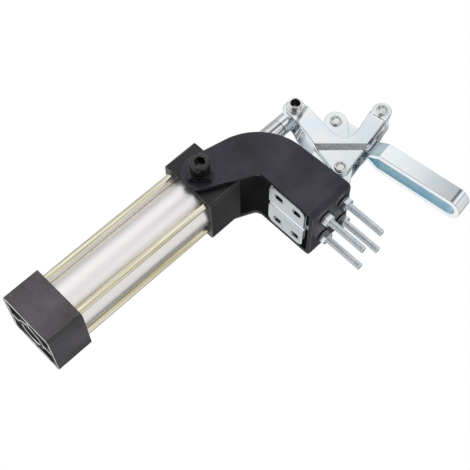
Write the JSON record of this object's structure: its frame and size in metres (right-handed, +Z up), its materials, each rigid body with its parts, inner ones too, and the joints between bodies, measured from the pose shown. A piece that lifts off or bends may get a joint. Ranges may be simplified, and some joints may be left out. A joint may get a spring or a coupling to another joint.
{
  "type": "pneumatic power clamp",
  "caption": "Hold-down toggle clamp with a U-shaped arm, worked through a bell crank by an air cylinder that swings on a trunnion in a bent-sheet yoke.",
  "frame": {"origin": "middle of the base's four slots, on the underside of the base", "axes": "+X forward to the U-shaped arm and the studs, +Y to the far side of the picture, +Z up from the base, along the cylinder towards the arm"},
  "size_m": [0.1832, 0.0906, 0.3355],
  "materials": {
    "black_cap": "satin black casting",
    "black_sheet": "satin black",
    "black_steel": "black oxide",
    "barrel_alloy": "satin anodised",
    "gold_zinc": "yellow zinc",
    "blue_zinc": "bright zinc",
    "flange_zinc": "dull zinc",
    "rod_chrome": "hard chrome",
    "rivet_steel": "bright",
    "bronze": "plain bearing",
    "seal_rubber": "matt",
    "piston_alloy": "turned"
  },
  "bodies": {
    "clamp_frame": {"yoke_bracket": "black_sheet", "base_half_far": "flange_zinc", "base_half_near": "flange_zinc", "mounting_bolts": "blue_zinc", "mounting_washers": "black_steel", "mounting_nuts": "blue_zinc", "arm_rivet": "rivet_steel", "crank_rivet": "rivet_steel", "crank_spacer": "rivet_steel"},
    "cylinder": {"front_cap": "black_cap", "rear_cap": "black_cap", "barrel": "barrel_alloy", "barrel_seals": "seal_rubber", "tie_rods": "gold_zinc", "tie_rod_nuts": "black_steel", "rod_bush": "bronze", "rod_seal": "seal_rubber", "trunnion_bushes": "bronze", "flat_washers": "black_steel", "tab_washers": "black_steel", "trunnion_screws": "black_steel"},
    "rod": {"piston": "piston_alloy", "piston_seals": "seal_rubber", "piston_guide_ring": "seal_rubber", "piston_nut": "blue_zinc", "piston_rod": "rod_chrome", "rod_eye": "blue_zinc", "rod_pin_middle": "rivet_steel"},
    "crank": {"crank_plate_far": "blue_zinc", "crank_plate_near": "blue_zinc", "rod_pin_ends": "rivet_steel", "link_rivet": "rivet_steel"},
    "link": {"link_plate_far": "blue_zinc", "link_plate_near": "blue_zinc", "link_spacer": "rivet_steel", "link_rivet_ends": "rivet_steel"},
    "arm": {"u_bar": "blue_zinc", "arm_pin": "rivet_steel"}
  },
  "joints": [
    {"name": "crank_turn", "type": "hinge", "parent": "clamp_frame", "child": "crank", "pos_m": [0.0025, 0, 0.0577], "axis": [0, -1, 0], "range_deg": [0, 43.85]},
    {"name": "arm_lift", "type": "hinge", "parent": "clamp_frame", "child": "arm", "pos_m": [-0.0315, 0, 0.0895], "axis": [0, -1, 0], "range_deg": [0, 81.08]},
    {"name": "link_turn", "type": "hinge", "parent": "crank", "child": "link", "pos_m": [-0.0106, 0, 0.1222], "axis": [0, -1, 0], "range_deg": [0, 80.06]},
    {"name": "cylinder_swing", "type": "hinge", "parent": "clamp_frame", "child": "cylinder", "pos_m": [-0.0635, 0, -0.0315], "axis": [0, 1, 0], "range_deg": [0, 6.94]},
    {"name": "rod_slide", "type": "slide", "parent": "cylinder", "child": "rod", "axis": [0, 0, -1], "range_m": [0, 0.05002]}
  ],
  "couplings": [
    {"joint": "arm_lift", "follows": "crank_turn", "ratio": 1.8489},
    {"joint": "link_turn", "follows": "crank_turn", "ratio": 1.8256},
    {"joint": "cylinder_swing", "follows": "crank_turn", "ratio": 0.15826},
    {"joint": "rod_slide", "follows": "crank_turn", "m_per_rad": 0.065328}
  ]
}
